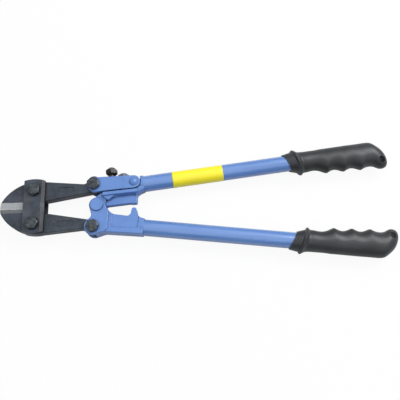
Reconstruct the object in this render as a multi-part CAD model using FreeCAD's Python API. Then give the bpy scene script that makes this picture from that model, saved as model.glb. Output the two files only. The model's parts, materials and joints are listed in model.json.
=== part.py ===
"""Bolt cutters with bolted jaws, tubular handles and moulded grips.

Millimetres. The tool lies flat and closed. +X runs from the jaws to the grips, +Y to the
upper handle, which carries the adjusting link, and +Z up from the surface it lies on.
Everything is drawn about the centre pivot, in the middle plane of the tool, and moved to
the frame's origin when it is written: below the middle of the overall length, on the
centre line, on the surface that the nuts and grips rest on.
"""
import FreeCAD, Part
import math
import os

os.makedirs("parts", exist_ok=True)
Vector = FreeCAD.Vector

# Pivots, measured from the centre pivot. The lower ones mirror the upper ones.
jaw_pivot = (-72.9, 19.9)
arm_pivot = (-4.2, 25.3)
link_pivot = (42.4, 27.3)

# Fits
running_fit = 0.05
side_clearance = 0.15
swing_clearance = 0.4
seat_gap = 0.05

# Travel that the hidden slot in the upper jaw's tail has to pass
slot_inward = 0.6
slot_outward = 4.5
slot_side = 0.5
slot_lean = 5.0
slot_wall = 2.2
lower_jaw_travel = 60.2

# Jaws
jaw_thickness = 13.0
jaw_tip_x = -114.5
jaw_back_radius = 47.3
jaw_back_centre = (-69.9, -15.8)
edge_gap = 0.04
bevel_height = 6.3
bevel_end_x = -82.0
heel_relief = 12.5
heel_end_x = -64.0
throat_x = -61.0
throat_half_height = 5.5
tail_radius = 8.0
tail_shoulder = 5.0
arm_back_y = 27.0
jaw_round = 1.0
mark_panel_length = 19.0
mark_panel_width = 7.0
mark_panel_depth = 0.8
mark_panel_cove = 0.6
mark_panel_centre = (-36.8, 20.3)
dimple_centre = (-50.0, -20.3)
dimple_radius = 1.1

# Link plates
plate_thickness = 4.0
plate_width = 24.0
plate_reach_up = 33.4
plate_reach_down = 30.9
plate_end_radius = 42.0
plate_bevel = 3.6
plate_bevel_drop = 1.6
plate_round = 0.5

# Bolts and nuts
bolt_diameter = 8.0
head_across_flats = 13.0
head_height = 5.3
turned_share = 0.90
nut_height = 4.0
bolt_proud = 1.35

# Centre pivot
pivot_diameter = 10.0
pivot_head_lip = 2.3
pivot_head_height = 2.0
pivot_washer_lip = 3.0
pivot_washer_height = 1.2
eye_wall = 4.0
tongue_inset = 0.5
shoulder_gap = 1.6

# Handle castings
fork_step = 1.45
panel_depth = 1.4
panel_cove = 1.2
web_step = 2.5
web_round = 1.4
web_hollow = (12.3, -3.3, -3.0)
neck_round = 4.0
neck_reach = 1.5
neck_corner = 2.7
shelf_run = 5.0
shelf_rise = 1.0
foot_recess = 1.7
web_inset = 1.0
lug_overhang = 4.0
neck_step = 1.0
body_side_step = 0.3
rib_step = 0.35
rib_width = 4.2
rib_slope_run = 2.2
rib_round = 1.0
fork_end_x = 13.0
lug_radius = 10.0
cast_round = 1.3
fork_round = 1.6
tongue_round = 1.5
collar_lip = 0.3
collar_length = 4.0
body_to_tube = 0.6
spigot_length = 36.0
horn_tip = (42.8, -6.3, 2.9)
horn_root_y = -13.0
horn_tip_half = 6.2

# Adjusting link
link_front_radius = 9.0
link_front_offset = (1.6, -0.6)
link_rear_radius = 7.7
link_web_thickness = 3.4
link_web_start = 12.4
link_web_end = 37.0
link_round = 1.0
link_gap = 1.0
link_step_x = 30.0
link_step = 0.35
rivet_diameter = 7.0
rivet_head_lip = 1.7
rivet_head_height = 2.6
screw_x = 15.2
screw_head_height = 10.3
screw_head_land = 3.5
screw_head_slope = 42.0
screw_standoff = 3.4
screw_reach = 7.0
screw_reach_gap = 0.6
lock_bolt_x = 29.6
lock_head_height = 5.0
lock_head_land = 3.6
lock_head_slope = 35.0
lock_bolt_depth = 14.0
lock_bolt_hole_gap = 0.8
lock_head_gap = 0.6

# Handle tubes. A handle's own frame starts at handle_start and runs along the tube.
handle_start = (30.0, 23.8)
handle_angle = 6.87
tube_radius = 9.6
tube_wall = 2.0
tube_start = 24.6
socket_fit = 0.05

# Grips, in the handle's own frame: u along the tube, v away from the centre line.
# Walls and crests are measured from the tube's surface.
grip_start = 196.8
flange_offset = 13.0
grip_body_lead = 9.0
flange_wall = 5.5
flange_inner_wall = 6.8
flange_outer_wall = 5.2
rim_wall = 1.2
grip_rim_slant = 21.0
face_wall = 2.7
outer_wall = 1.8
outer_bulge = 0.5
neck_wall = 3.6
first_finger_offset = 46.8
finger_pitch = 20.9
finger_count = 3
finger_crest = 9.1
crest_growth = 0.055
finger_depth = 2.7
tube_past_crest = 4.6
end_crest_offset = 25.1
end_crest_wall = 13.7
grip_tip = 7.7
grip_tip_v = -14.2
hang_hole_back = 0.5
hang_hole_v = -14.3
hang_hole_radius = 4.0
grip_bore_gap = 0.4

# Heights of the layers above and below the middle plane
jaw_half = jaw_thickness / 2
cheek_inner = jaw_half + side_clearance
cheek_outer = cheek_inner + plate_thickness
bolt_radius = bolt_diameter / 2
bolt_bore = bolt_radius + running_fit
stand_height = cheek_outer + nut_height + bolt_proud
body_half = cheek_outer - fork_step
rib_half = cheek_outer - rib_step
web_half = jaw_half - web_step

# Sizes that follow from the pins and tubes
eye_radius = pivot_diameter / 2 + eye_wall
shoulder_radius = eye_radius + shoulder_gap
collar_radius = tube_radius + collar_lip
neck_half = tube_radius - neck_step
body_side = tube_radius - body_side_step
flange_u = grip_start + flange_offset
first_finger_u = grip_start + first_finger_offset
last_finger_u = first_finger_u + finger_pitch * (finger_count - 1)
tube_end = last_finger_u + tube_past_crest
end_crest_u = last_finger_u + end_crest_offset
grip_end_u = end_crest_u + grip_tip
turned_land = head_across_flats / 2 * turned_share
lower_arm_pivot = (arm_pivot[0], -arm_pivot[1])
lower_jaw_pivot = (jaw_pivot[0], -jaw_pivot[1])


# ---------------------------------------------------------------- drawing aids

def turned(point, centre, degrees):
    """The point turned about a centre."""
    angle = math.radians(degrees)
    dx = point[0] - centre[0]
    dy = point[1] - centre[1]
    return (centre[0] + dx * math.cos(angle) - dy * math.sin(angle),
            centre[1] + dx * math.sin(angle) + dy * math.cos(angle))


def on_handle(u, v):
    """A point of the upper handle's own frame."""
    angle = math.radians(handle_angle)
    return (handle_start[0] + u * math.cos(angle) - v * math.sin(angle),
            handle_start[1] + u * math.sin(angle) + v * math.cos(angle))


def outline(circles, z=0.0):
    """A closed anticlockwise wire drawn round circles (x, y, r), like a belt.

    A positive r is a rounded outer corner, a negative r a hollow one, 0 a sharp one."""
    count = len(circles)
    headings = []
    for i in range(count):
        x0, y0, r0 = circles[i]
        x1, y1, r1 = circles[(i + 1) % count]
        distance = math.hypot(x1 - x0, y1 - y0)
        headings.append(math.atan2(y1 - y0, x1 - x0) - math.asin((r1 - r0) / distance))

    def touch(circle, heading):
        x, y, r = circle
        return Vector(x + r * math.sin(heading), y - r * math.cos(heading), z)

    edges = []
    for i in range(count):
        circle = circles[i]
        came = headings[i - 1]
        goes = headings[i]
        turn = (goes - came) % (2 * math.pi)
        if circle[2] < 0:
            turn -= 2 * math.pi
        if circle[2] != 0:
            arc = Part.Arc(touch(circle, came), touch(circle, came + turn / 2), touch(circle, goes))
            edges.append(arc.toShape())
        edges.append(Part.makeLine(touch(circle, goes), touch(circles[(i + 1) % count], goes)))
    return Part.Wire(edges)


def pad(circles, low, high, round_radius=0.0):
    """A plate of that outline from one height to another, with rounded rims."""
    solid = Part.Face(outline(circles, low)).extrude(Vector(0, 0, high - low))
    if round_radius:
        rims = [edge for edge in solid.Edges if edge.BoundBox.ZLength < 0.001]
        solid = solid.makeFillet(round_radius, rims)
    return solid


def disc(centre, radius, low, high, round_radius=0.0):
    """An upright cylinder, with its top and bottom rims rounded."""
    solid = Part.makeCylinder(radius, high - low, Vector(centre[0], centre[1], low))
    if round_radius:
        rims = [edge for edge in solid.Edges if edge.BoundBox.ZLength < 0.001]
        solid = solid.makeFillet(round_radius, rims)
    return solid


def box(low, high):
    return Part.makeBox(high[0] - low[0], high[1] - low[1], high[2] - low[2], Vector(*low))


def both_faces(solid):
    """A solid and its copy mirrored in the middle plane."""
    return [solid, solid.mirror(Vector(0, 0, 0), Vector(0, 0, 1))]


def below_centre_line(solid):
    return solid.mirror(Vector(0, 0, 0), Vector(0, 1, 0))


def joined(solids):
    shape = solids[0]
    for solid in solids[1:]:
        shape = shape.fuse(solid)
    return shape.removeSplitter()


def hexagon(across_flats, height, lands, slope=30.0, turn=0.0):
    """A hexagonal head or nut standing on z=0.

    lands are the radii of its flat foot and top; its corners are turned down at that slope
    from there, or left whole where the radius is 0."""
    corner = across_flats / math.sqrt(3)
    points = [Vector(corner * math.cos(math.radians(60 * i + turn)),
                     corner * math.sin(math.radians(60 * i + turn)), 0) for i in range(7)]
    prism = Part.Face(Part.makePolygon(points)).extrude(Vector(0, 0, height))
    reach = corner + 0.1
    foot, top = [land or reach for land in lands]
    rise = math.tan(math.radians(slope))
    profile = [Vector(0, 0, 0), Vector(foot, 0, 0), Vector(reach, 0, (reach - foot) * rise),
               Vector(reach, 0, height - (reach - top) * rise), Vector(top, 0, height), Vector(0, 0, height)]
    profile = [point for i, point in enumerate(profile) if i == 0 or point != profile[i - 1]]
    turning = Part.Face(Part.makePolygon(profile + [profile[0]]))
    return prism.common(turning.revolve(Vector(0, 0, 0), Vector(0, 0, 1), 360))


def along_handle(solid):
    """Moves a solid drawn along +Z from its foot so that it runs along the upper tube."""
    start = on_handle(0, 0)
    placed = solid.copy()
    placed.rotate(Vector(0, 0, 0), Vector(0, 1, 0), 90)
    placed.rotate(Vector(0, 0, 0), Vector(0, 0, 1), handle_angle)
    placed.translate(Vector(start[0], start[1], 0))
    return placed


# ---------------------------------------------------------------- fasteners

def hex_bolt(centre, turn):
    """Hex bolt through the plates or cheeks, head in front, end behind its nut."""
    end_chamfer = 0.8
    into_head = 1.0
    length = stand_height + cheek_outer + into_head
    shank = Part.makeCylinder(bolt_radius, length, Vector(0, 0, -stand_height))
    foot = [edge for edge in shank.Edges if abs(edge.BoundBox.ZMax + stand_height) < 0.001]
    shank = shank.makeChamfer(end_chamfer, foot)
    head = hexagon(head_across_flats, head_height, (0, turned_land), turn=turn)
    head.translate(Vector(0, 0, cheek_outer + seat_gap))
    bolt = joined([shank, head])
    bolt.translate(Vector(centre[0], centre[1], 0))
    return bolt


def thin_nut(centre, turn):
    nut = hexagon(head_across_flats, nut_height - seat_gap, (turned_land, turned_land), turn=turn)
    nut.translate(Vector(centre[0], centre[1], -cheek_outer - nut_height))
    return nut.cut(disc(centre, bolt_bore, -stand_height, 0))


def centre_pivot_rivet():
    """Rivet with a flat round head in front and a peened end behind its washer."""
    head_low = cheek_outer + seat_gap
    washer_low = cheek_outer + seat_gap + pivot_washer_height
    tail_height = 1.5
    shank = disc((0, 0), pivot_diameter / 2, -washer_low - seat_gap, head_low)
    head_radius = pivot_diameter / 2 + pivot_head_lip
    head = disc((0, 0), head_radius, head_low, head_low + pivot_head_height, 0.7)
    tail_top = -washer_low - seat_gap
    tail = disc((0, 0), head_radius - 1.0, tail_top - tail_height, tail_top, 0.6)
    return joined([shank, head, tail])


def centre_pivot_washer():
    low = -cheek_outer - seat_gap - pivot_washer_height
    ring = disc((0, 0), pivot_diameter / 2 + pivot_washer_lip, low, low + pivot_washer_height, 0.3)
    return ring.cut(disc((0, 0), pivot_diameter / 2 + running_fit, low - 1, 0))


def dome(centre, radius, height, base):
    """A shallow rivet head standing on a face."""
    ball_radius = (radius ** 2 + height ** 2) / (2 * height)
    ball = Part.makeSphere(ball_radius, Vector(centre[0], centre[1], base + height - ball_radius))
    return ball.common(disc(centre, radius, base, base + height + 1))


def link_rivet():
    base = cheek_outer + seat_gap
    shank = disc(link_pivot, rivet_diameter / 2, -base, base)
    heads = both_faces(dome(link_pivot, rivet_diameter / 2 + rivet_head_lip, rivet_head_height, base))
    return joined([shank] + heads)


# ---------------------------------------------------------------- jaws

def jaw_outline(tail):
    """The upper jaw from tip to tail; tail lists the circles at the tail's outer side."""
    relief = (heel_end_x - jaw_pivot[0]) * math.tan(math.radians(heel_relief))
    back_x, back_y = jaw_back_centre
    return [(jaw_tip_x, edge_gap, 0),
            (jaw_pivot[0], edge_gap, 0),
            (heel_end_x, edge_gap + relief, 0),
            (throat_x - 1, throat_half_height, -1.5),
            (arm_pivot[0], arm_pivot[1], tail_radius)] + tail + [(back_x, back_y, jaw_back_radius)]


def tail_hollow(reach):
    """The hollow corner where the arm's back edge meets the tail eye."""
    return (arm_pivot[0] - reach - tail_shoulder - 1, arm_back_y + tail_shoulder, -tail_shoulder)


def ground_bevel():
    """What grinding takes off the front face along the upper jaw's cutting edge."""
    land = edge_gap + 0.15
    section = [Vector(0, land, 0), Vector(0, land - bevel_height, 0),
               Vector(0, land - bevel_height, jaw_half + 1), Vector(0, land + bevel_height + 1, jaw_half + 1),
               Vector(0, land, 0)]
    wedge = Part.Face(Part.makePolygon(section)).extrude(Vector(bevel_end_x - jaw_tip_x + 5, 0, 0))
    wedge.translate(Vector(jaw_tip_x - 5, 0, 0.15))
    return wedge


def mark_panel():
    """Shallow recess with clipped corners in the arm's front face."""
    x, y = mark_panel_centre
    half_length = mark_panel_length / 2
    half_width = mark_panel_width / 2
    corner = 1.8
    corners = [(x + sx * (half_length - corner), y + sy * (half_width - corner), corner)
               for sx, sy in ((1, -1), (1, 1), (-1, 1), (-1, -1))]
    return pad(corners, jaw_half - mark_panel_depth, jaw_half + 2 * mark_panel_cove, mark_panel_cove)


def jaw_blank(tail):
    blank = pad(jaw_outline(tail), -jaw_half, jaw_half, jaw_round)
    for cutter in both_faces(ground_bevel()) + both_faces(mark_panel()):
        blank = blank.cut(cutter)
    return blank.cut(disc(jaw_pivot, bolt_bore, -jaw_half - 1, jaw_half + 1))


def slot_point(travel):
    """A point along the tail slot, which leans a little from the jaw's own Y."""
    return turned((arm_pivot[0], arm_pivot[1] + travel), arm_pivot, slot_lean)


def upper_jaw():
    """Upper jaw: its tail slot lets the link's bolt stand off between the ends of travel."""
    half_width = bolt_radius + slot_side
    far = slot_point(slot_outward)
    near = slot_point(-slot_inward)
    crown_radius = half_width + slot_wall
    tail = [(far[0], far[1], crown_radius), tail_hollow(crown_radius)]
    slot = pad([(far[0], far[1], half_width), (near[0], near[1], half_width)], -jaw_half - 1, jaw_half + 1)
    return jaw_blank(tail).cut(slot)


def lower_jaw():
    blank = jaw_blank([tail_hollow(tail_radius)])
    blank = blank.cut(disc(arm_pivot, bolt_bore, -jaw_half - 1, jaw_half + 1))
    jaw = below_centre_line(blank)
    ball = Part.makeSphere(dimple_radius * 1.4,
                           Vector(dimple_centre[0], dimple_centre[1], jaw_half + dimple_radius * 0.9))
    return jaw.cut(ball)


# ---------------------------------------------------------------- link plates

def front_link_plate():
    """Plate across both jaw bolts, with bowed ends and a broad bevel on its throat side."""
    x = jaw_pivot[0]
    half = plate_width / 2
    low = cheek_inner
    high = cheek_outer
    blank = box((x - half, -plate_reach_down, low), (x + half, plate_reach_up, high))
    for middle in (plate_reach_up - plate_end_radius, plate_end_radius - plate_reach_down):
        blank = blank.common(disc((x, middle), plate_end_radius, low, high))
    rims = [edge for edge in blank.Edges if abs(edge.BoundBox.ZMin - high) < 0.001
            and edge.BoundBox.XMin < x + half - 0.001]
    blank = blank.makeFillet(plate_round, rims)
    section = [Vector(x + half - plate_bevel, 0, high), Vector(x + half, 0, high - plate_bevel_drop),
               Vector(x + half + 1, 0, high - plate_bevel_drop), Vector(x + half + 1, 0, high + 1),
               Vector(x + half - plate_bevel, 0, high + 1), Vector(x + half - plate_bevel, 0, high)]
    shaving = Part.Face(Part.makePolygon(section)).extrude(Vector(0, 2 * plate_end_radius, 0))
    shaving.translate(Vector(0, -plate_end_radius, 0))
    blank = blank.cut(shaving)
    for sign in (1, -1):
        blank = blank.cut(disc((x, sign * jaw_pivot[1]), bolt_bore, low - 1, high + 1))
    return blank


def back_link_plate():
    return front_link_plate().mirror(Vector(0, 0, 0), Vector(0, 0, 1))


# ---------------------------------------------------------------- handle castings

def socket_end():
    """Collar and the spigot that fills the end of the tube, along the upper handle."""
    collar = Part.makeCylinder(collar_radius, collar_length, Vector(0, 0, tube_start - collar_length))
    spigot = Part.makeCylinder(tube_radius - tube_wall - socket_fit, spigot_length, Vector(0, 0, tube_start - 1))
    return along_handle(joined([collar, spigot]))


def stop_edge():
    """The upper casting's lower edge, from the pivot to its stop lug and the neck."""
    return [(36.8, -0.3, -2.5), (42.6, 3.9, 2.1), (44.2, 4.0, 2.1), neck_hollow()]


def neck_hollow():
    """The hollow that runs from the stop lug up to the upper tube."""
    return (53.9, 8.8, -7.6)


def body_end(v):
    """The point at that distance from the tube's axis where the castings' flat bodies end."""
    x, y = on_handle(tube_start - body_to_tube, v)
    return (x, y, 0)


def tongue_plate():
    """Middle layer of the upper casting: pivot tongue, screw seat and link lug."""
    seat_y = screw_seat_y()
    lug_x, lug_y = link_pivot
    low_x = lug_x + lug_overhang
    circles = [(0, 0, eye_radius - tongue_inset), (12.5, 6.2, -2.0), (low_x, link_under_y(low_x) - 1.0, 3.0),
               (lug_x, lug_y, link_rear_radius - 0.3),
               (lug_x - 11.5, seat_y + 3, -3.0), (11.6, seat_y - 2.6, 2.6)]
    return pad(circles, -jaw_half, jaw_half, tongue_round)


def web_plate():
    """Thinner plate of the upper casting below the rib, down to the stop lug."""
    rear = body_end(-body_side)
    circles = [(0, 0, eye_radius - tongue_inset - web_inset), web_hollow] + stop_edge()
    circles += [rear, (rear[0], link_under_y(rear[0]), 0), (6.0, 12.0, 3.0)]
    return pad(circles, -web_half, web_half, web_round)


def link_under_y(x):
    """Height of the adjusting link's lower edge at a given length."""
    front = (arm_pivot[0] + link_front_offset[0], arm_pivot[1] + link_front_offset[1])
    share = (x - front[0]) / (link_pivot[0] - front[0])
    low_front = front[1] - link_front_radius
    low_rear = link_pivot[1] - link_rear_radius
    return low_front + share * (low_rear - low_front)


def link_back_y(x):
    """Height of the adjusting link's back edge at a given length."""
    front = (arm_pivot[0] + link_front_offset[0], arm_pivot[1] + link_front_offset[1])
    share = (x - front[0]) / (link_pivot[0] - front[0])
    high_front = front[1] + link_front_radius
    high_rear = link_pivot[1] + link_rear_radius
    return high_front + share * (high_rear - high_front)


def link_web_bottom():
    """Height of the face of the adjusting link's back web, inside the channel."""
    return link_back_y(link_web_start) - link_web_thickness


def screw_seat_y():
    """Top of the seat that the adjusting screw bears on."""
    return link_back_y(screw_x) - link_web_thickness - screw_reach - screw_reach_gap


def neck_plate():
    """End of the upper casting, where its body thickens and rounds off towards the tube."""
    hollow = neck_hollow()
    left = hollow[0] + hollow[2] - neck_reach
    shelf = link_under_y(left) + link_gap
    top_left = on_handle(tube_start - collar_length, body_side)
    circles = [(left, hollow[1] + neck_corner, 0), hollow, body_end(-body_side), body_end(body_side),
               (top_left[0], top_left[1], 0), (left + shelf_run, shelf + shelf_rise, 0), (left, shelf, 0)]
    solid = pad(circles, -neck_half, neck_half)
    rims = []
    for edge in solid.Edges:
        on_top = edge.BoundBox.YMin > top_left[1] - 0.1
        on_hollow = isinstance(edge.Curve, Part.Circle)
        if edge.BoundBox.ZLength < 0.001 and (on_top or on_hollow):
            rims.append(edge)
    return solid.makeFillet(neck_round, rims)


def rib():
    """Raised rib of the upper casting along the adjusting link's lower edge, sloping to the web."""
    start_x = 6.6
    end_x = link_pivot[0] + 4.5
    start = Vector(start_x, link_under_y(start_x) - link_gap, 0)
    end = Vector(end_x, link_under_y(end_x) - link_gap, 0)
    foot = -rib_width - rib_slope_run
    foot_half = web_half - web_round / 2
    corners = [(0, rib_half), (-rib_width, rib_half), (foot, foot_half),
               (foot, -foot_half), (-rib_width, -rib_half), (0, -rib_half), (0, rib_half)]
    section = Part.makePolygon([start + Vector(0, y, z) for y, z in corners])
    prism = Part.Face(section).extrude(end - start)
    crests = [edge for edge in prism.Edges if edge.BoundBox.ZLength < 0.001
              and abs(edge.BoundBox.ZMax) > rib_half - 0.001 and edge.BoundBox.XLength > rib_width]
    return prism.makeFillet(rib_round, crests)


def rib_foot():
    """Where the rib widens round the lower casting's eye."""
    half = rib_half - foot_recess
    return pad([(12.6, 8.2, 2.2), (18.0, 12.6, 2.2), (7.0, 12.8, 2.2)], -half, half, tongue_round)


def upper_handle_casting():
    casting = joined([tongue_plate(), web_plate(), neck_plate(), rib(), rib_foot(), socket_end()])
    casting = casting.cut(disc((0, 0), pivot_diameter / 2 + running_fit, -jaw_half - 1, jaw_half + 1))
    link_room = link_rear_radius + link_gap
    for cutter in (both_faces(disc((0, 0), shoulder_radius, jaw_half, rib_half + 1))
                   + both_faces(disc(link_pivot, link_room, jaw_half, rib_half + 1))):
        casting = casting.cut(cutter)
    casting = casting.cut(disc(link_pivot, rivet_diameter / 2 + running_fit, -rib_half, rib_half))
    web_room = box((0, link_web_bottom() - swing_clearance, -jaw_half - 1),
                   (link_web_end + swing_clearance, 60, jaw_half + 1))
    lock_hole = upright_bore(lock_bolt_x, bolt_bore, link_lock_end() - 0.5, link_back_y(lock_bolt_x))
    return casting.cut(web_room).cut(lock_hole)


def fork_outline():
    """Outline of the lower casting, drawn below the centre line."""
    x, y = lower_arm_pivot
    inner = body_end(-body_side)
    outer = body_end(body_side)
    return [(0, 0, eye_radius),
            (-11.2, -11.4, -5.0),
            (x, y, lug_radius),
            (9.0, y - 16.6, -10.0),
            (outer[0], -outer[1], 0),
            (inner[0], -inner[1], 0),
            (54.8, -8.6, -8.6),
            horn_tip,
            (34.7, -8.9, -4.6),
            (23.4, 0.4, -12.0),
            (14.0, -3.4, -2.6)]


def panel_recess():
    """Shallow recess in the lower casting's front face, open towards the window."""
    circles = [(18.2, -25.8, 1.6), (46.0, -27.2, 1.6), (47.6, -12.0, 1.6), (44.5, 4.0, 1.6), (17.2, -4.0, 1.6)]
    return pad(circles, body_half - panel_depth, body_half + 2 * panel_cove, panel_cove)


def horn_shaving():
    """What thins the horn's front face towards its tip."""
    tip_x, tip_y, tip_radius = horn_tip
    top = tip_y + tip_radius
    high = body_half + 1
    section = [Vector(0, horn_root_y, body_half), Vector(0, top, horn_tip_half), Vector(0, top, high),
               Vector(0, horn_root_y, high), Vector(0, horn_root_y, body_half)]
    shaving = Part.Face(Part.makePolygon(section)).extrude(Vector(6 * tip_radius, 0, 0))
    shaving.translate(Vector(tip_x - 3 * tip_radius, 0, 0))
    return shaving


def tongue_room():
    """The space between the fork's cheeks for the upper casting's tongue and web."""
    hollow_x, hollow_y, hollow_radius = web_hollow
    circles = [(0, 0, eye_radius + swing_clearance), (hollow_x, hollow_y, hollow_radius + swing_clearance),
               (hollow_x + 8, hollow_y + 12, 3.0)]
    return pad(circles, -cheek_inner, cheek_inner)


def tail_room():
    """The space between the fork's cheeks that the lower jaw's tail and arm swing through."""
    pivot = lower_arm_pivot
    room = tail_radius + swing_clearance
    reach = 24.0
    rise = arm_pivot[1] - throat_half_height - tail_radius
    arm_slope = math.degrees(math.asin(rise / (arm_pivot[0] - throat_x)))
    closed = turned((pivot[0] - reach, pivot[1]), pivot, -arm_slope)
    spread = turned(closed, pivot, lower_jaw_travel + 5)
    circles = [(centre[0], centre[1], room) for centre in (pivot, closed, spread)]
    return pad(circles, -cheek_inner, cheek_inner)


def lower_handle_casting():
    """Fork round the lower jaw's tail and the upper casting's tongue, horn, panel and socket."""
    body = pad(fork_outline(), -body_half, body_half, cast_round)
    for cutter in both_faces(panel_recess()) + both_faces(horn_shaving()):
        body = body.cut(cutter)
    fork = pad(fork_outline(), -cheek_outer, cheek_outer, cast_round)
    x, y = lower_arm_pivot
    fork_zone = pad([(0, 0, eye_radius + 3), (x, y, lug_radius + 3),
                     (fork_end_x - 3, y - 2, 3), (fork_end_x - 2, -12, 3)],
                    -cheek_outer, cheek_outer, fork_round)
    casting = joined([body, fork.common(fork_zone), below_centre_line(socket_end())])
    casting = casting.cut(tongue_room()).cut(tail_room())
    casting = casting.cut(disc((0, 0), pivot_diameter / 2 + running_fit, -cheek_outer - 1, cheek_outer + 1))
    return casting.cut(disc((x, y), bolt_bore, -cheek_outer - 1, cheek_outer + 1))


# ---------------------------------------------------------------- adjusting link

def upright_bore(x, radius, low, high):
    """A bore across the tool, parallel to Y, in the middle plane."""
    return Part.makeCylinder(radius, high - low + 1, Vector(x, low, 0), Vector(0, 1, 0))


def link_lock_end():
    return link_back_y(lock_bolt_x) - link_web_thickness - lock_bolt_depth


def adjusting_link():
    """Channel of two cheeks and a back web: jaw tail in front, handle lug behind."""
    front = (arm_pivot[0] + link_front_offset[0], arm_pivot[1] + link_front_offset[1], link_front_radius)
    rear = (link_pivot[0], link_pivot[1], link_rear_radius)
    channel = pad([front, rear], -cheek_outer, cheek_outer, link_round)
    room_low = arm_pivot[1] - 20
    room_high = link_web_bottom()
    channel = channel.cut(box((-30, room_low, -cheek_inner), (70, room_high, cheek_inner)))
    channel = channel.cut(box((-30, room_low, -cheek_inner), (link_web_start - 4, 60, cheek_inner)))
    channel = channel.cut(box((link_web_end, room_low, -cheek_inner), (70, 60, cheek_inner)))
    for step in both_faces(box((link_step_x, 0, cheek_outer - link_step), (70, 60, cheek_outer + 1))):
        channel = channel.cut(step)
    channel = channel.cut(disc(arm_pivot, bolt_bore, -cheek_outer - 1, cheek_outer + 1))
    channel = channel.cut(disc(link_pivot, rivet_diameter / 2 + running_fit, -cheek_outer - 1, cheek_outer + 1))
    channel = channel.cut(upright_bore(screw_x, bolt_bore, 20, 60))
    return channel.cut(upright_bore(lock_bolt_x, bolt_bore + lock_bolt_hole_gap, 20, 60))


def adjusting_screw():
    """Hex screw through the link's web, its tip over the seat on the casting."""
    lands = (screw_head_land, screw_head_land)
    head = hexagon(head_across_flats, screw_head_height, lands, screw_head_slope, 30)
    head_y = link_back_y(screw_x) + screw_standoff
    head.rotate(Vector(0, 0, 0), Vector(1, 0, 0), -90)
    head.translate(Vector(screw_x, head_y, 0))
    tip_y = screw_seat_y() + screw_reach_gap
    shank = Part.makeCylinder(bolt_radius, head_y + 1 - tip_y, Vector(screw_x, tip_y, 0), Vector(0, 1, 0))
    return joined([head, shank])


def lock_bolt():
    """Hex bolt through the link's slotted web into the upper casting."""
    head = hexagon(head_across_flats, lock_head_height, (0, lock_head_land), lock_head_slope, 30)
    head.rotate(Vector(0, 0, 0), Vector(1, 0, 0), -90)
    head_y = link_back_y(lock_bolt_x) + lock_head_gap
    head.translate(Vector(lock_bolt_x, head_y, 0))
    end_y = link_lock_end()
    shank = Part.makeCylinder(bolt_radius, head_y + 1 - end_y, Vector(lock_bolt_x, end_y, 0), Vector(0, 1, 0))
    return joined([head, shank])


# ---------------------------------------------------------------- tubes and grips

def upper_tube():
    length = tube_end - tube_start
    foot = Vector(0, 0, tube_start)
    tube = Part.makeCylinder(tube_radius, length, foot)
    return along_handle(tube.cut(Part.makeCylinder(tube_radius - tube_wall, length, foot)))


def grip_section(u, inner, outer, half_height, slant):
    """An oval across the handle; slant leans its plane so the finger side sits further back."""
    middle = (outer - inner) / 2
    half_width = (outer + inner) / 2
    lean = math.radians(slant)
    centre = Vector(u, middle, 0)
    across = Vector(-math.sin(lean), math.cos(lean), 0)
    stretch = half_width / math.cos(lean)
    upright = Vector(0, 0, 1)
    tall = half_height > stretch
    long_axis = upright if tall else across
    long_half = max(half_height, stretch)
    short_half = min(half_height, stretch)
    short_axis = across if tall else upright
    oval = Part.Ellipse(centre + long_axis * long_half, centre + short_axis * short_half, centre)
    return Part.Wire([oval.toShape()])


def grip_profile():
    """Sections of the upper grip from its rim to its closed end; the second lies inside the front cone."""
    rim = tube_radius + rim_wall
    flange = tube_radius + flange_wall
    flange_in = tube_radius + flange_inner_wall
    flange_out = tube_radius + flange_outer_wall
    height = tube_radius + face_wall
    outer = tube_radius + outer_wall
    neck = tube_radius + neck_wall
    end_crest = tube_radius + end_crest_wall
    sections = [(grip_start, rim, rim, rim, grip_rim_slant),
                (flange_u - grip_body_lead, rim, rim, rim, grip_rim_slant),
                (flange_u - 3, flange_in - 2.6, flange_out - 2.0, flange - 2.2, 15),
                (flange_u, flange_in, flange_out, flange, 13),
                (flange_u + 3, flange_in - 2.0, flange_out - 2.2, flange - 2.2, 12),
                (flange_u + 7, neck + 0.8, outer + 0.2, height + 0.2, 9),
                (first_finger_u - 17.0, neck, outer, height - 0.2, 5),
                (first_finger_u - 8.6, neck + 1.6, outer, height - 0.2, 2)]
    for i in range(finger_count):
        crest_u = first_finger_u + finger_pitch * i
        crest = tube_radius + finger_crest + crest_growth * (crest_u - first_finger_u)
        bulged = outer + outer_bulge * math.sin(math.pi * (crest_u - flange_u) / 110)
        groove = crest - finger_depth
        sections += [(crest_u - 2.6, crest - 0.9, bulged, height, 0), (crest_u, crest, bulged, height, 0),
                     (crest_u + 2.6, crest - 0.9, bulged, height, 0),
                     (crest_u + finger_pitch / 2, groove, bulged, height - 0.1, 0)]
    sections += [(end_crest_u - 8.0, end_crest - 3.7, outer - 0.8, height - 0.3, 0),
                 (end_crest_u - 3.5, end_crest - 0.9, outer - 4.1, height - 1.0, 0),
                 (end_crest_u, end_crest, outer - 7.4, height - 2.2, 0),
                 (end_crest_u + 3.7, end_crest - 0.7, outer - 12.0, height - 4.4, 0),
                 (end_crest_u + 6.3, end_crest - 3.0, outer - 17.8, height - 7.2, 0),
                 (grip_end_u, -grip_tip_v + 1.6, grip_tip_v + 1.6, 1.6, 0)]
    return sections


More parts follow.
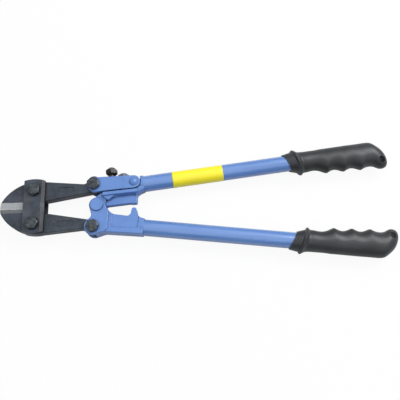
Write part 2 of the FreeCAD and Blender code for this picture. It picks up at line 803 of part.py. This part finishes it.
def upper_grip():
    """Moulded grip pushed over the tube: front cone, flange, finger crests and hang hole."""
    wires = [grip_section(*section) for section in grip_profile()]
    body = Part.makeLoft(wires[1:], True, False)
    cone = Part.makeLoft([wires[0], wires[2]], True, True)
    grip = cone.fuse(body).removeSplitter()
    bore_end = tube_end + grip_bore_gap
    bore = Part.makeCylinder(tube_radius + socket_fit, bore_end, Vector(0, 0, 0), Vector(1, 0, 0))
    grip = grip.cut(bore)
    depth = 2 * (tube_radius + face_wall)
    hole = Part.makeCylinder(hang_hole_radius, 2 * depth,
                             Vector(end_crest_u - hang_hole_back, hang_hole_v, -depth))
    grip = grip.cut(hole)
    grip.rotate(Vector(0, 0, 0), Vector(0, 0, 1), handle_angle)
    grip.translate(Vector(handle_start[0], handle_start[1], 0))
    return grip


# ---------------------------------------------------------------- the assembly

def sub_parts():
    return {
        "upper_jaw": upper_jaw(),
        "lower_jaw": lower_jaw(),
        "front_link_plate": front_link_plate(),
        "back_link_plate": back_link_plate(),
        "upper_jaw_bolt": hex_bolt(jaw_pivot, 30),
        "lower_jaw_bolt": hex_bolt(lower_jaw_pivot, 2),
        "upper_jaw_nut": thin_nut(jaw_pivot, 12),
        "lower_jaw_nut": thin_nut(lower_jaw_pivot, 40),
        "upper_arm_bolt": hex_bolt(arm_pivot, 44),
        "lower_arm_bolt": hex_bolt(lower_arm_pivot, 12),
        "upper_arm_nut": thin_nut(arm_pivot, 25),
        "lower_arm_nut": thin_nut(lower_arm_pivot, 5),
        "upper_handle_casting": upper_handle_casting(),
        "lower_handle_casting": lower_handle_casting(),
        "centre_pivot_rivet": centre_pivot_rivet(),
        "centre_pivot_washer": centre_pivot_washer(),
        "adjusting_link": adjusting_link(),
        "link_rivet": link_rivet(),
        "adjusting_screw": adjusting_screw(),
        "lock_bolt": lock_bolt(),
        "upper_tube": upper_tube(),
        "lower_tube": below_centre_line(upper_tube()),
        "upper_grip": upper_grip(),
        "lower_grip": below_centre_line(upper_grip()),
    }


def origin_shift():
    """From the centre pivot to below the middle of the overall length."""
    grip_end_x = on_handle(grip_end_u, grip_tip_v)[0]
    return Vector(-(jaw_tip_x + grip_end_x) / 2, 0, stand_height)


shift = origin_shift()
print("centre pivot at", [round(value, 3) for value in shift])
for node, shape in sub_parts().items():
    shape.translate(shift)
    print(node, len(shape.Solids), shape.isValid(), round(shape.Volume, 1))
    shape.exportStep("parts/" + node + ".step")
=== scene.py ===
"""Looks of the bolt cutters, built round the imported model. Metres, in the model's own frame.

+X runs from the jaws to the grips, +Y to the handle with the adjusting link, and +Z up from the floor.
"""
import json
import math

import bmesh
import bpy
from mathutils import Matrix, Vector


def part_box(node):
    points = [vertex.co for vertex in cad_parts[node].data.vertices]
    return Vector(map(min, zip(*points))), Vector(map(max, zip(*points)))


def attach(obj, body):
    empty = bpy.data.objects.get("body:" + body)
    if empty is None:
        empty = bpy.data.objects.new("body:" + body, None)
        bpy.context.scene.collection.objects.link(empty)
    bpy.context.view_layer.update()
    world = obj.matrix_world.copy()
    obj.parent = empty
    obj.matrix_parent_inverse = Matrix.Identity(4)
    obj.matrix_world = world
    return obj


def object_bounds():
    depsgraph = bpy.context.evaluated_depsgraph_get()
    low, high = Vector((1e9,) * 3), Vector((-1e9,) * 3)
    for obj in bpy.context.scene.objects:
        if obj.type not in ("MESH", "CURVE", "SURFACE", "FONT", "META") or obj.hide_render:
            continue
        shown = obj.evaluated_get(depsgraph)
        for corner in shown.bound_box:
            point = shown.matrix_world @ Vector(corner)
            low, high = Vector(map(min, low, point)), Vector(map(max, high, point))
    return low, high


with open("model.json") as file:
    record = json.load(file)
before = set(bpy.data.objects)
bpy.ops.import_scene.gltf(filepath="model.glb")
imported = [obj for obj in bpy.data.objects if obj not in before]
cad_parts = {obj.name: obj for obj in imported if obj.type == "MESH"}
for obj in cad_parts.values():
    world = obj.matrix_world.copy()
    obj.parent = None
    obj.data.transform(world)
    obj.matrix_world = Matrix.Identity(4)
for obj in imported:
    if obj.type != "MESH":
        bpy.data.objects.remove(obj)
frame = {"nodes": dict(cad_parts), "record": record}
cad_low, cad_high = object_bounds()
MM = 0.001


def centre_of(node):
    low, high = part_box(node)
    return (Vector(low) + Vector(high)) / 2


pivot = centre_of("centre_pivot_rivet")
middle_z = (cad_low[2] + cad_high[2]) / 2

# The label, measured along the upper tube from its front end
LABEL_FIRST = 33.6 * MM
LABEL_LAST = 94.0 * MM
LABEL_HALF_WRAP = math.radians(167)
LABEL_LIFT = 0.03 * MM
LABEL_FILM = 0.10 * MM
LABEL_CORNER = 0.9 * MM
LABEL_COLUMNS = 48
LABEL_ROWS = 72
TUBE_END_BAND = 8 * MM

# The camera's aim from the centre pivot, its turns in order, and its distance
AIM_FROM_PIVOT = (119.8 * MM, 4.9 * MM)
CAMERA_TURNS = (("Y", -1.13), ("X", 16.65), ("Z", -2.05))
CAMERA_DISTANCE = 0.5912
CAMERA_LENS = 45.0
CAMERA_SENSOR = 36.0

# Studio
FLOOR_REACH = 6.0
FLOOR_GREY = 0.55
FLOOR_SEEN = 0.90
FLOOR_MIRRORED = 0.25
FLOOR_GLOW = 1.03
WALL_STRENGTH = 0.20
SOFTBOX_STRENGTH = 1.15
KEY_PLACE = (0.9, 0.7, 1.3)
KEY_SIZE = 0.7
KEY_POWER = 17.0


# ---------------------------------------------------------------- node helpers

class Graph:
    """A material's or the world's node tree, with short calls for the nodes used here."""

    def __init__(self, tree):
        self.tree = tree
        self.coords = None

    def add(self, kind, settings=None, **inputs):
        """Adds a node. settings are its properties, inputs its sockets by name (_ stands for a space)."""
        made = self.tree.nodes.new("ShaderNode" + kind)
        for name, value in (settings or {}).items():
            setattr(made, name, value)
        for name, value in inputs.items():
            self.feed(made, name.replace("_", " "), value)
        return made

    def feed(self, target, name, value):
        socket = target.inputs[int(name[3:])] if name.startswith("in ") else target.inputs[name]
        if isinstance(value, bpy.types.NodeSocket):
            self.tree.links.new(value, socket)
        else:
            socket.default_value = value

    def place(self):
        """Position on the piece itself, which stays put when the piece moves."""
        if self.coords is None:
            self.coords = self.add("TexCoord").outputs["Object"]
        return self.coords

    def math(self, operation, first, second=0.0, clamp=False):
        made = self.add("Math", {"operation": operation, "use_clamp": clamp})
        self.feed(made, "in 0", first)
        self.feed(made, "in 1", second)
        return made.outputs[0]

    def noise(self, scale, detail=3.0, roughness=0.55, where=None):
        place = where or self.place()
        made = self.add("TexNoise", Vector=place, Scale=scale, Detail=detail, Roughness=roughness)
        return made.outputs["Fac"]

    def stretched(self, factors):
        """Coordinates scaled by a factor along each axis, for streaks and grinding lines."""
        made = self.add("VectorMath", {"operation": "MULTIPLY"})
        self.feed(made, "in 0", self.place())
        self.feed(made, "in 1", factors)
        return made.outputs[0]

    def remap(self, value, low, high, to_low=0.0, to_high=1.0, smooth=False):
        kind = "SMOOTHSTEP" if smooth else "LINEAR"
        made = self.add("MapRange", {"interpolation_type": kind}, Value=value)
        for name, number in (("From Min", low), ("From Max", high), ("To Min", to_low), ("To Max", to_high)):
            made.inputs[name].default_value = number
        return made.outputs["Result"]

    def blend(self, share, first, second, mode="MIX"):
        """Mixes two colours, given as sockets or as (r, g, b)."""
        made = self.add("Mix", {"data_type": "RGBA", "blend_type": mode})
        self.feed(made, "in 0", share)
        for index, colour in ((6, first), (7, second)):
            is_socket = isinstance(colour, bpy.types.NodeSocket)
            self.feed(made, "in %d" % index, colour if is_socket else (*colour, 1.0))
        return made.outputs[2]

    def edges(self, radius, low, high):
        """1 on outer and inner edges, 0 on open faces, from how far a rounded normal leans."""
        bevel = self.add("Bevel", {"samples": 6}, Radius=radius)
        plain = self.add("NewGeometry").outputs["Normal"]
        lean = self.add("VectorMath", {"operation": "DOT_PRODUCT"})
        self.feed(lean, "in 0", bevel.outputs[0])
        self.feed(lean, "in 1", plain)
        return self.remap(lean.outputs["Value"], high, low)

    def painted_shade_mask(self, distance, open_share=0.92, shut_share=0.45):
        """1 in corners and beside other pieces, 0 on open faces: the mask where shade is painted into a
        colour.
        """
        near = self.add("AmbientOcclusion", {"samples": 8}, Distance=distance)
        return self.remap(near.outputs["AO"], open_share, shut_share)

    def bump(self, height, strength, distance, below=None):
        made = self.add("Bump", Height=height, Strength=strength, Distance=distance)
        if below is not None:
            self.feed(made, "Normal", below)
        return made.outputs["Normal"]


def new_material(name):
    made = bpy.data.materials.new(name)
    made.use_nodes = True
    graph = Graph(made.node_tree)
    shader = made.node_tree.nodes["Principled BSDF"]
    return made, graph, shader


def shade(graph, shader, **inputs):
    for name, value in inputs.items():
        graph.feed(shader, name.replace("_", " "), value)


# ---------------------------------------------------------------- materials

BLUE = (0.108, 0.235, 0.56)
DEEP_BLUE = (0.078, 0.180, 0.47)
# Paler blue for edges: partly worn paint, partly a painted highlight.
PALE_BLUE = (0.26, 0.43, 0.74)


def blue_paint(name, cast_depth, edge_wear_and_highlight):
    """Glossy blue enamel, thinner and paler on edges, over a cast or a drawn surface; the paler edges are
    partly a painted highlight, and corners and places beside other pieces get painted shade.
    """
    made, graph, shader = new_material(name)
    patches = graph.remap(graph.noise(28, 4), 0.35, 0.68)
    colour = graph.blend(patches, BLUE, DEEP_BLUE)
    # Paler edges: partly paint worn thin, partly a painted highlight.
    patchy = graph.remap(graph.noise(260, 3), 0.3, 0.6)
    rubbed = graph.math("MULTIPLY", graph.edges(0.7 * MM, 0.86, 0.985), patchy)
    rubbed = graph.math("MULTIPLY", rubbed, edge_wear_and_highlight, clamp=True)
    colour = graph.blend(rubbed, colour, PALE_BLUE)
    grime = graph.remap(graph.noise(90, 6, 0.7), 0.60, 0.78)
    colour = graph.blend(graph.math("MULTIPLY", grime, 0.26), colour, (0.05, 0.10, 0.24))
    # Painted shade: darker blue in corners, in recesses and beside other pieces, made uneven by noise.
    uneven = graph.remap(graph.noise(300, 4), 0.2, 0.6, 0.55, 0.95)
    corner_painted_shade = graph.math("MULTIPLY", graph.painted_shade_mask(3.5 * MM), uneven)
    colour = graph.blend(corner_painted_shade, colour, (0.022, 0.040, 0.11))
    worn_rough = graph.math("MULTIPLY", rubbed, 0.12)
    rough = graph.math("ADD", graph.remap(graph.noise(150, 3), 0.3, 0.7, 0.35, 0.46), worn_rough)
    cast = graph.bump(graph.noise(420, 4, 0.6), cast_depth, 0.3 * MM)
    peel = graph.bump(graph.noise(1500, 2), 0.10, 0.05 * MM, cast)
    shade(graph, shader, Base_Color=colour, Roughness=rough, Normal=peel, IOR=1.55,
          Coat_Weight=0.25, Coat_Roughness=0.2, Coat_IOR=1.5)
    return made


def tube_paint():
    """The same enamel on drawn tube: smoother, with faint lengthwise streaks."""
    made, graph, shader = new_material("tube_enamel")
    streaks = graph.noise(1.0, 4, 0.6, graph.stretched((12, 260, 260)))
    colour = graph.blend(graph.remap(streaks, 0.35, 0.7), BLUE, DEEP_BLUE)
    cloud = graph.remap(graph.noise(22, 3), 0.4, 0.7, 0.0, 0.35)
    colour = graph.blend(cloud, colour, (0.14, 0.28, 0.62))
    # Paler edges: partly paint worn thin, partly a painted highlight.
    rubbed = graph.math("MULTIPLY", graph.edges(0.6 * MM, 0.86, 0.985), 0.6)
    colour = graph.blend(rubbed, colour, PALE_BLUE)
    scuffs = graph.remap(graph.noise(1.0, 5, 0.7, graph.stretched((90, 700, 700))), 0.66, 0.76, 0.0, 0.25)
    colour = graph.blend(scuffs, colour, (0.22, 0.36, 0.66))
    rough = graph.math("ADD", graph.remap(streaks, 0.3, 0.7, 0.24, 0.33), graph.math("MULTIPLY", scuffs, 0.5))
    ripple = graph.bump(graph.noise(1.0, 2, 0.5, graph.stretched((30, 160, 160))), 0.22, 0.15 * MM)
    peel = graph.bump(graph.noise(1300, 2), 0.08, 0.05 * MM, ripple)
    shade(graph, shader, Base_Color=colour, Roughness=rough, Normal=peel, IOR=1.55,
          Coat_Weight=0.8, Coat_Roughness=0.08, Coat_IOR=1.6)
    return made


def ground_mask(graph, side):
    """1 on the ground cutting bevels of a jaw: the slope that runs in from the cutting edge."""
    low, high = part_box("upper_jaw")
    plate_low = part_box("front_link_plate")[0]
    split = graph.add("SeparateXYZ", Vector=graph.place())
    x, y, z = (split.outputs[i] for i in range(3))
    out = graph.math("MULTIPLY", y, side)
    depth = graph.math("ABSOLUTE", graph.math("SUBTRACT", z, middle_z))
    slope = graph.math("SUBTRACT", depth, graph.math("SUBTRACT", out, 0.1 * MM))
    on_slope = graph.remap(graph.math("ABSOLUTE", slope), 0.55 * MM, 0.35 * MM)
    edge_face = graph.remap(out, 0.5 * MM, 0.3 * MM)
    on_slope = graph.math("MAXIMUM", on_slope, edge_face)
    below_face = graph.remap(depth, (high[2] - low[2]) / 2 - 0.02 * MM, (high[2] - low[2]) / 2 - 0.12 * MM)
    ahead = graph.remap(x, plate_low[0] + 4 * MM, plate_low[0] + 3 * MM)
    return graph.math("MULTIPLY", graph.math("MULTIPLY", on_slope, below_face), ahead)


def black_steel(name, side=0, tone=1.0, ground_painted_brightness=1.0):
    """Forged steel with a dark finish: mottled, brighter on worn edges, with painted shade in corners and
    beside other pieces.

    side is 1 or -1 on a jaw, which has ground bevels, and 0 on a plate, whose rear slope is painted in shade.
    A jaw's ground bevels are painted in shade when their tone is set below 1.
    """
    made, graph, shader = new_material(name)
    dark = tuple(tone * value for value in (0.018, 0.024, 0.036))
    grey = tuple(tone * value for value in (0.050, 0.063, 0.086))
    mottle = graph.remap(graph.noise(70, 6, 0.65), 0.32, 0.70)
    colour = graph.blend(mottle, dark, grey)
    brown = graph.remap(graph.noise(38, 4, 0.6), 0.56, 0.74, 0.0, 0.45)
    colour = graph.blend(brown, colour, (0.085 * tone, 0.075 * tone, 0.085 * tone))
    patchy = graph.remap(graph.noise(330, 4, 0.7), 0.35, 0.62)
    worn = graph.math("MULTIPLY", graph.edges(0.6 * MM, 0.84, 0.98), patchy)
    colour = graph.blend(graph.math("MULTIPLY", worn, 0.55), colour, (0.24, 0.25, 0.27))
    if not side:
        # Painted shade: faces of a plate turned towards the grips are painted dark brown.
        normal = graph.add("TexCoord").outputs["Normal"]
        facing_rear = graph.add("SeparateXYZ", Vector=normal).outputs[0]
        rear_painted_shade = graph.remap(facing_rear, 0.2, 0.45, 0.0, 0.75)
        colour = graph.blend(rear_painted_shade, colour, (0.022, 0.018, 0.016))
    # Painted shade: near-black in corners and beside other pieces.
    colour = graph.blend(graph.painted_shade_mask(3.0 * MM), colour, (0.010, 0.010, 0.012))
    smoother = graph.math("MULTIPLY", worn, 0.12)
    rough = graph.math("SUBTRACT", graph.remap(mottle, 0.0, 1.0, 0.52, 0.38), smoother)
    metal = graph.remap(worn, 0.0, 1.0, 0.25, 0.8)
    forged = graph.bump(graph.noise(260, 5, 0.6), 0.42, 0.3 * MM)
    surface = graph.bump(graph.noise(1600, 3), 0.16, 0.06 * MM, forged)
    if side:
        ground = ground_mask(graph, side)
        lines = graph.noise(1.0, 4, 0.7, graph.stretched((2600, 90, 90)))
        # The ground steel's colour is scaled down on the lower jaw: painted shade on the same steel as the
        # upper jaw's bevel.
        cut = tuple(ground_painted_brightness * value for value in (0.88, 0.91, 0.93))
        rubbed = tuple(ground_painted_brightness * value for value in (0.93, 0.95, 0.96))
        steel = graph.blend(lines, cut, rubbed)
        colour = graph.blend(ground, colour, steel)
        metal = graph.math("MAXIMUM", metal, graph.math("MULTIPLY", ground, 0.55))
        bright = graph.remap(lines, 0.3, 0.7, 0.24, 0.36)
        rough = graph.add("Mix", {"data_type": "FLOAT"}, in_0=ground, in_2=rough, in_3=bright).outputs[0]
        surface = graph.bump(graph.math("MULTIPLY", lines, ground), 0.25, 0.05 * MM, surface)
    shade(graph, shader, Base_Color=colour, Roughness=rough, Metallic=metal, Normal=surface)
    return made


def fastener_black():
    """Black-oxide bolts and nuts: dark flats, corners and chamfers rubbed to bare steel."""
    made, graph, shader = new_material("fastener_oxide")
    mottle = graph.remap(graph.noise(240, 4, 0.6), 0.35, 0.7)
    colour = graph.blend(mottle, (0.018, 0.022, 0.027), (0.082, 0.096, 0.108))
    # Painted shade: near-black in corners and beside other pieces.
    colour = graph.blend(graph.painted_shade_mask(2.0 * MM), colour, (0.010, 0.010, 0.011))
    patchy = graph.remap(graph.noise(620, 4, 0.7), 0.34, 0.6)
    worn = graph.math("MULTIPLY", graph.edges(0.5 * MM, 0.88, 0.985), patchy)
    colour = graph.blend(graph.math("MULTIPLY", worn, 0.8), colour, (0.42, 0.43, 0.44))
    metal = graph.remap(worn, 0.0, 1.0, 0.45, 0.95)
    rough = graph.remap(graph.noise(420, 3), 0.3, 0.7, 0.34, 0.48)
    surface = graph.bump(graph.noise(900, 4, 0.6), 0.2, 0.1 * MM)
    shade(graph, shader, Base_Color=colour, Roughness=rough, Metallic=metal, Normal=surface)
    return made


def screw_black():
    """Oily near-black hex screw, slightly brown."""
    made, graph, shader = new_material("screw_oxide")
    mottle = graph.remap(graph.noise(380, 4, 0.6), 0.35, 0.7)
    colour = graph.blend(mottle, (0.012, 0.011, 0.010), (0.045, 0.042, 0.034))
    patchy = graph.remap(graph.noise(700, 4, 0.7), 0.4, 0.62)
    worn = graph.math("MULTIPLY", graph.edges(0.5 * MM, 0.88, 0.985), patchy)
    colour = graph.blend(graph.math("MULTIPLY", worn, 0.6), colour, (0.30, 0.29, 0.26))
    metal = graph.remap(worn, 0.0, 1.0, 0.4, 0.9)
    rough = graph.remap(graph.noise(520, 3), 0.3, 0.7, 0.26, 0.42)
    surface = graph.bump(graph.noise(1100, 4, 0.6), 0.22, 0.08 * MM)
    shade(graph, shader, Base_Color=colour, Roughness=rough, Metallic=metal, Normal=surface)
    return made


def lock_grey():
    """Dull plated bolt, a purplish grey."""
    made, graph, shader = new_material("lock_plating")
    mottle = graph.remap(graph.noise(300, 4, 0.6), 0.35, 0.7)
    colour = graph.blend(mottle, (0.105, 0.108, 0.150), (0.165, 0.165, 0.215))
    patchy = graph.remap(graph.noise(640, 4, 0.7), 0.35, 0.62)
    worn = graph.math("MULTIPLY", graph.edges(0.5 * MM, 0.88, 0.985), patchy)
    colour = graph.blend(graph.math("MULTIPLY", worn, 0.5), colour, (0.36, 0.36, 0.40))
    # Painted shade: darker in corners and beside other pieces.
    colour = graph.blend(graph.painted_shade_mask(2.0 * MM), colour, (0.02, 0.02, 0.03))
    rough = graph.remap(graph.noise(460, 3), 0.3, 0.7, 0.46, 0.60)
    surface = graph.bump(graph.noise(1000, 4, 0.6), 0.2, 0.08 * MM)
    shade(graph, shader, Base_Color=colour, Roughness=rough, Metallic=0.35, Normal=surface)
    return made


def grip_rubber():
    """Moulded slate-black grip: fine leathery grain, rubbed smooth on its crests."""
    made, graph, shader = new_material("grip_moulding")
    cloud = graph.remap(graph.noise(30, 4, 0.6), 0.35, 0.68)
    colour = graph.blend(cloud, (0.014, 0.016, 0.018), (0.025, 0.029, 0.033))
    rubbed = graph.math("MULTIPLY", graph.edges(1.6 * MM, 0.90, 0.99), 0.5)
    colour = graph.blend(rubbed, colour, (0.070, 0.076, 0.082))
    dust = graph.remap(graph.noise(1100, 3, 0.7), 0.60, 0.74, 0.0, 0.25)
    colour = graph.blend(dust, colour, (0.095, 0.10, 0.105))
    cells = graph.add("TexVoronoi", Vector=graph.place(), Scale=900.0).outputs["Distance"]
    grain = graph.bump(cells, 0.18, 0.12 * MM)
    surface = graph.bump(graph.noise(210, 3), 0.15, 0.2 * MM, grain)
    rough = graph.remap(cloud, 0.0, 1.0, 0.50, 0.42)
    shade(graph, shader, Base_Color=colour, Roughness=rough, Normal=surface, IOR=1.5,
          Sheen_Weight=0.10, Sheen_Roughness=0.45)
    return made


def label_film():
    """Plain yellow vinyl film, a little scuffed."""
    made, graph, shader = new_material("label_film")
    cloud = graph.remap(graph.noise(60, 4), 0.35, 0.68)
    colour = graph.blend(cloud, (0.93, 0.80, 0.012), (0.86, 0.76, 0.02))
    scuffs = graph.remap(graph.noise(1.0, 5, 0.7, graph.stretched((200, 900, 900))), 0.64, 0.76, 0.0, 0.4)
    colour = graph.blend(scuffs, colour, (0.95, 0.90, 0.45))
    rough = graph.remap(graph.noise(300, 3), 0.3, 0.7, 0.30, 0.42)
    surface = graph.bump(graph.noise(130, 3), 0.12, 0.15 * MM)
    shade(graph, shader, Base_Color=colour, Roughness=rough, Normal=surface,
          Coat_Weight=0.4, Coat_Roughness=0.15)
    return made


def dress_nodes():
    """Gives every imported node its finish."""
    castings = blue_paint("casting_enamel", 0.5, 0.8)
    fixings = blue_paint("rivet_enamel", 0.22, 0.7)
    tubes = tube_paint()
    plates = black_steel("plate_steel", tone=1.1)
    bolts = fastener_black()
    grips = grip_rubber()
    # The lower jaw's ground bevels are the same steel as the upper jaw's, painted much darker as shade.
    finishes = {"upper_jaw": black_steel("upper_jaw_steel", 1),
                "lower_jaw": black_steel("lower_jaw_steel_shaded_bevel", -1, ground_painted_brightness=0.14),
                "adjusting_screw": screw_black(), "lock_bolt": lock_grey()}
    by_slot = {"plate_black": plates, "fastener_black": bolts, "casting_blue": castings,
               "rivet_blue": fixings, "tube_blue": tubes, "grip_black": grips}
    for part in frame["record"]["subparts"]:
        finish = finishes.get(part["node"]) or by_slot[part["material_slot"]]
        slots = frame["nodes"][part["node"]].material_slots
        for slot in slots:
            slot.material = finish


# ---------------------------------------------------------------- the label

def tube_line(node):
    """Where a handle tube starts and ends on its axis, read from its own mesh."""
    points = [v.co for v in frame["nodes"][node].data.vertices]
    near = min(point.x for point in points)
    far = max(point.x for point in points)
    ends = []
    for limit, sign in ((near, 1), (far, -1)):
        ring = [p for p in points if sign * (p.x - limit) < TUBE_END_BAND]
        low = Vector([min(p[i] for p in ring) for i in range(3)])
        high = Vector([max(p[i] for p in ring) for i in range(3)])
        ends.append((low + high) / 2)
    return ends


def wrapped_label():
    """A strip of film wrapped round the upper tube, its ends meeting behind."""
    start, end = tube_line("upper_tube")
    along = (end - start).normalized()
    along.z = 0
    up = Vector((0, 0, 1))
    side = up.cross(along)
    low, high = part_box("upper_tube")
    radius = (high[2] - low[2]) / 2
    columns, rows = LABEL_COLUMNS, LABEL_ROWS
    mesh = bmesh.new()
    sheets = []
    for height in (LABEL_LIFT, LABEL_LIFT + LABEL_FILM):
        grid = []
        for i in range(columns + 1):
            share = i / columns
            row = []
            for j in range(rows + 1):
                turn = LABEL_HALF_WRAP * (2 * j / rows - 1)
                edge = LABEL_CORNER * math.cos(math.pi * (j / rows - 0.5)) ** 0.25
                inset = (LABEL_CORNER - edge) * (1 - 2 * share)
                place = LABEL_FIRST + (LABEL_LAST - LABEL_FIRST) * share + inset
                out = radius + height
                direction = up * math.cos(turn) + side * math.sin(turn)
                row.append(mesh.verts.new(start + along * place + direction * out))
            grid.append(row)
        sheets.append(grid)
    under, over = sheets
    for i in range(columns):
        for j in range(rows):
            mesh.faces.new((over[i][j], over[i + 1][j], over[i + 1][j + 1], over[i][j + 1]))
            mesh.faces.new((under[i][j + 1], under[i + 1][j + 1], under[i + 1][j], under[i][j]))
    for i in range(columns):
        mesh.faces.new((under[i][0], under[i + 1][0], over[i + 1][0], over[i][0]))
        mesh.faces.new((over[i][rows], over[i + 1][rows], under[i + 1][rows], under[i][rows]))
    for j in range(rows):
        mesh.faces.new((under[0][j + 1], under[0][j], over[0][j], over[0][j + 1]))
        mesh.faces.new((over[columns][j + 1], over[columns][j], under[columns][j], under[columns][j + 1]))
    bmesh.ops.recalc_face_normals(mesh, faces=mesh.faces)
    data = bpy.data.meshes.new("handle_label")
    mesh.to_mesh(data)
    mesh.free()
    for face in data.polygons:
        face.use_smooth = True
    label = bpy.data.objects.new("handle_label", data)
    bpy.context.collection.objects.link(label)
    data.materials.append(label_film())
    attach(label, "upper_handle")
    return label


# ---------------------------------------------------------------- studio

def floor_and_backdrop():
    """A pale floor, seen white, that keeps the object's shadow."""
    made, graph, shader = new_material("studio_floor")
    graph.feed(shader, "Base Color", (FLOOR_GREY, FLOOR_GREY, FLOOR_GREY, 1.0))
    graph.feed(shader, "Roughness", 0.9)
    path = graph.add("LightPath")
    mirrored = graph.math("MAXIMUM", path.outputs["Is Glossy Ray"], path.outputs["Is Transmission Ray"])
    seen = graph.math("MULTIPLY", path.outputs["Is Camera Ray"], FLOOR_SEEN)
    seen = graph.math("ADD", seen, graph.math("MULTIPLY", mirrored, FLOOR_MIRRORED))
    glow = graph.add("Emission", Strength=FLOOR_GLOW)
    mixed = graph.add("MixShader", in_0=seen, in_1=shader.outputs[0], in_2=glow.outputs[0])
    output = made.node_tree.nodes["Material Output"]
    made.node_tree.links.new(mixed.outputs[0], output.inputs["Surface"])
    mesh = bpy.data.meshes.new("studio_floor")
    signs = [(-1, -1), (1, -1), (1, 1), (-1, 1)]
    corners = [(x * FLOOR_REACH, y * FLOOR_REACH, cad_low[2]) for x, y in signs]
    mesh.from_pydata(corners, [], [(0, 1, 2, 3)])
    floor = bpy.data.objects.new("studio_floor", mesh)
    bpy.context.collection.objects.link(floor)
    mesh.materials.append(made)


def surroundings():
    """A softbox overhead that ends low on the near side, and dim walls below it."""
    world = bpy.data.worlds.new("studio")
    bpy.context.scene.world = world
    world.use_nodes = True
    graph = Graph(world.node_tree)
    background = world.node_tree.nodes["Background"]
    direction = graph.add("TexCoord").outputs["Generated"]
    split = graph.add("SeparateXYZ", Vector=direction)
    y, z = split.outputs[1], split.outputs[2]
    above = graph.remap(graph.math("ADD", graph.math("MULTIPLY", y, 0.71), graph.math("MULTIPLY", z, 0.71)),
                        -0.02, 0.05, smooth=True)
    near_top = graph.remap(z, 0.25, 0.75, smooth=True)
    box = graph.math("MULTIPLY", above, near_top)
    strength = graph.remap(box, 0.0, 1.0, WALL_STRENGTH, SOFTBOX_STRENGTH)
    path = graph.add("LightPath").outputs["Is Camera Ray"]
    seen = graph.add("Mix", {"data_type": "FLOAT"}, in_0=path, in_2=strength, in_3=1.0).outputs[0]
    graph.feed(background, "Color", (0.97, 0.985, 1.0, 1.0))
    graph.feed(background, "Strength", seen)


def key_light():
    """One square lamp behind the grips, aimed at the tool."""
    data = bpy.data.lights.new("key", "AREA")
    data.shape = "SQUARE"
    data.size = KEY_SIZE
    data.energy = KEY_POWER
    lamp = bpy.data.objects.new("key", data)
    bpy.context.collection.objects.link(lamp)
    lamp.location = KEY_PLACE
    lamp.rotation_mode = "QUATERNION"
    lamp.rotation_quaternion = (-Vector(KEY_PLACE)).to_track_quat("-Z", "Y")


def camera():
    """Above the near side, looking down at the middle of the tool."""
    aim = Vector((pivot.x + AIM_FROM_PIVOT[0], pivot.y + AIM_FROM_PIVOT[1], middle_z))
    turn = Matrix.Identity(3)
    for axis, degrees in CAMERA_TURNS:
        turn = turn @ Matrix.Rotation(math.radians(degrees), 3, axis)
    data = bpy.data.cameras.new("camera")
    data.lens = CAMERA_LENS
    data.sensor_width = CAMERA_SENSOR
    view = bpy.data.objects.new("camera", data)
    bpy.context.collection.objects.link(view)
    view.matrix_world = Matrix.Translation(aim + turn @ Vector((0, 0, CAMERA_DISTANCE))) @ turn.to_4x4()
    bpy.context.scene.camera = view


camera()
dress_nodes()
wrapped_label()
floor_and_backdrop()
surroundings()
key_light()
bpy.context.scene.view_settings.view_transform = "Standard"
